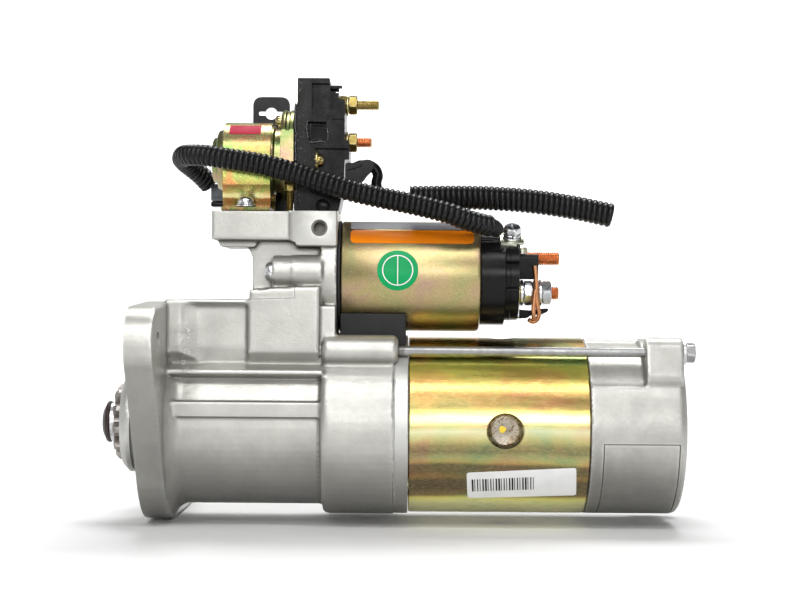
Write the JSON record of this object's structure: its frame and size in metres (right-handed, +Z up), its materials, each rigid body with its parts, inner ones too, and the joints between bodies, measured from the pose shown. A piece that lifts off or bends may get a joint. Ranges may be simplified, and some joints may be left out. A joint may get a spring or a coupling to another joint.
{
  "type": "starter motor",
  "caption": "Geared starter motor with a flange-mounted cast housing, a plated yoke, a solenoid, a relay on top and corrugated conduits.",
  "frame": {"origin": "centre of the mounting flange's front face, on the axis of the motor and the pinion", "axes": "+X along the motor axis from the pinion to the rear, +Z up to the relay, -Y towards the ear with the upper bolt hole"},
  "size_m": [0.3309, 0.1845, 0.25],
  "materials": {
    "cast_aluminium": "sand-cast aluminium, fine grain, machined where it seats",
    "plated_yoke": "steel with polished yellow chromate plating",
    "plated_can": "steel with satin yellow chromate plating",
    "gold_plate": "steel with bright yellow chromate plating",
    "zinc_steel": "bright zinc-plated steel",
    "bearing_steel": "ground bearing steel",
    "steel": "machined steel with oil film",
    "dark_steel": "hardened dark steel",
    "winding": "varnished copper winding",
    "copper": "bare copper",
    "carbon": "copper-graphite brush",
    "black_plastic": "moulded black phenolic",
    "grey_plastic": "moulded grey nylon",
    "black_paint": "black painted sheet steel",
    "black_rubber": "moulded black rubber",
    "conduit": "corrugated black nylon"
  },
  "bodies": {
    "housing": {"drive_housing": "cast_aluminium", "centre_plate": "cast_aluminium", "rear_bracket": "cast_aluminium", "yoke": "plated_yoke", "solenoid_can": "plated_can", "relay_can": "gold_plate", "relay_strap": "gold_plate", "relay_flange": "gold_plate", "relay_upper_stud": "gold_plate", "through_bolt_1": "zinc_steel", "through_bolt_2": "zinc_steel", "solenoid_bolt_1": "zinc_steel", "solenoid_bolt_2": "zinc_steel", "s_terminal_screw": "zinc_steel", "s_terminal_plate": "zinc_steel", "plunger_spring": "zinc_steel", "front_bearing": "bearing_steel", "armature_front_bearing": "bearing_steel", "armature_rear_bearing": "bearing_steel", "ring_gear": "steel", "pole_shoe_1": "steel", "pole_shoe_2": "steel", "pole_shoe_3": "steel", "pole_shoe_4": "steel", "lever_pin": "steel", "field_coils": "winding", "solenoid_coil": "winding", "battery_stud": "copper", "motor_stud": "copper", "motor_lead": "copper", "relay_lower_stud": "copper", "brush_1": "carbon", "brush_2": "carbon", "brush_3": "carbon", "brush_4": "carbon", "brush_holder": "black_plastic", "solenoid_cap": "black_plastic", "relay_body": "black_plastic", "relay_bracket": "black_paint", "relay_connector": "grey_plastic", "rubber_block": "black_rubber", "solenoid_gasket": "black_rubber", "relay_lead": "black_rubber", "conduit_sleeve": "black_rubber", "control_conduit": "conduit", "free_conduit": "conduit"},
    "armature": {"armature": "winding", "commutator": "copper"},
    "carrier": {"planet_carrier": "steel", "overrunning_clutch": "steel"},
    "planet_1": {"planet_gear_1": "steel"},
    "planet_2": {"planet_gear_2": "steel"},
    "planet_3": {"planet_gear_3": "steel"},
    "pinion": {"pinion_shaft": "steel", "pinion": "dark_steel", "pinion_stop_nut": "dark_steel"},
    "lever": {"shift_lever": "steel"},
    "plunger": {"plunger": "steel"},
    "contact": {"contact_disc": "copper"},
    "relay_armature": {"relay_plunger": "steel"}
  },
  "joints": [
    {"name": "armature_spin", "type": "hinge", "parent": "housing", "child": "armature", "pos_m": [0.2, 0, 0], "axis": [1, 0, 0], "continuous": true},
    {"name": "carrier_spin", "type": "hinge", "parent": "housing", "child": "carrier", "pos_m": [0.1, 0, 0], "axis": [1, 0, 0], "continuous": true},
    {"name": "planet_1_spin", "type": "hinge", "parent": "carrier", "child": "planet_1", "pos_m": [0.127, 0.02625, 0], "axis": [1, 0, 0], "continuous": true},
    {"name": "planet_2_spin", "type": "hinge", "parent": "carrier", "child": "planet_2", "pos_m": [0.127, -0.01312, 0.02273], "axis": [1, 0, 0], "continuous": true},
    {"name": "planet_3_spin", "type": "hinge", "parent": "carrier", "child": "planet_3", "pos_m": [0.127, -0.01312, -0.02273], "axis": [1, 0, 0], "continuous": true},
    {"name": "pinion_slide", "type": "slide", "parent": "carrier", "child": "pinion", "axis": [-1, 0, 0], "range_m": [0, 0.014], "stiffness_N_per_m": 400},
    {"name": "lever_tilt", "type": "hinge", "parent": "housing", "child": "lever", "pos_m": [0.076, 0, 0.05], "axis": [0, 1, 0], "range_deg": [0, 16.2]},
    {"name": "plunger_slide", "type": "slide", "parent": "housing", "child": "plunger", "axis": [1, 0, 0], "range_m": [0, 0.0096], "deforming": ["plunger_spring"]},
    {"name": "contact_slide", "type": "slide", "parent": "housing", "child": "contact", "axis": [1, 0, 0], "range_m": [0, 0.0031]},
    {"name": "relay_slide", "type": "slide", "parent": "housing", "child": "relay_armature", "axis": [1, 0, 0], "range_m": [0, 0.003], "stiffness_N_per_m": 300}
  ],
  "couplings": [
    {"joint": "carrier_spin", "follows": "armature_spin", "ratio": 0.2},
    {"joint": "planet_1_spin", "follows": "armature_spin", "ratio": -0.53333},
    {"joint": "planet_2_spin", "follows": "armature_spin", "ratio": -0.53333},
    {"joint": "planet_3_spin", "follows": "armature_spin", "ratio": -0.53333},
    {"joint": "lever_tilt", "follows": "pinion_slide", "rad_per_m": 19.98},
    {"joint": "plunger_slide", "follows": "pinion_slide", "ratio": 0.68},
    {"joint": "contact_slide", "follows": "pinion_slide", "ratio": 0.2143}
  ]
}
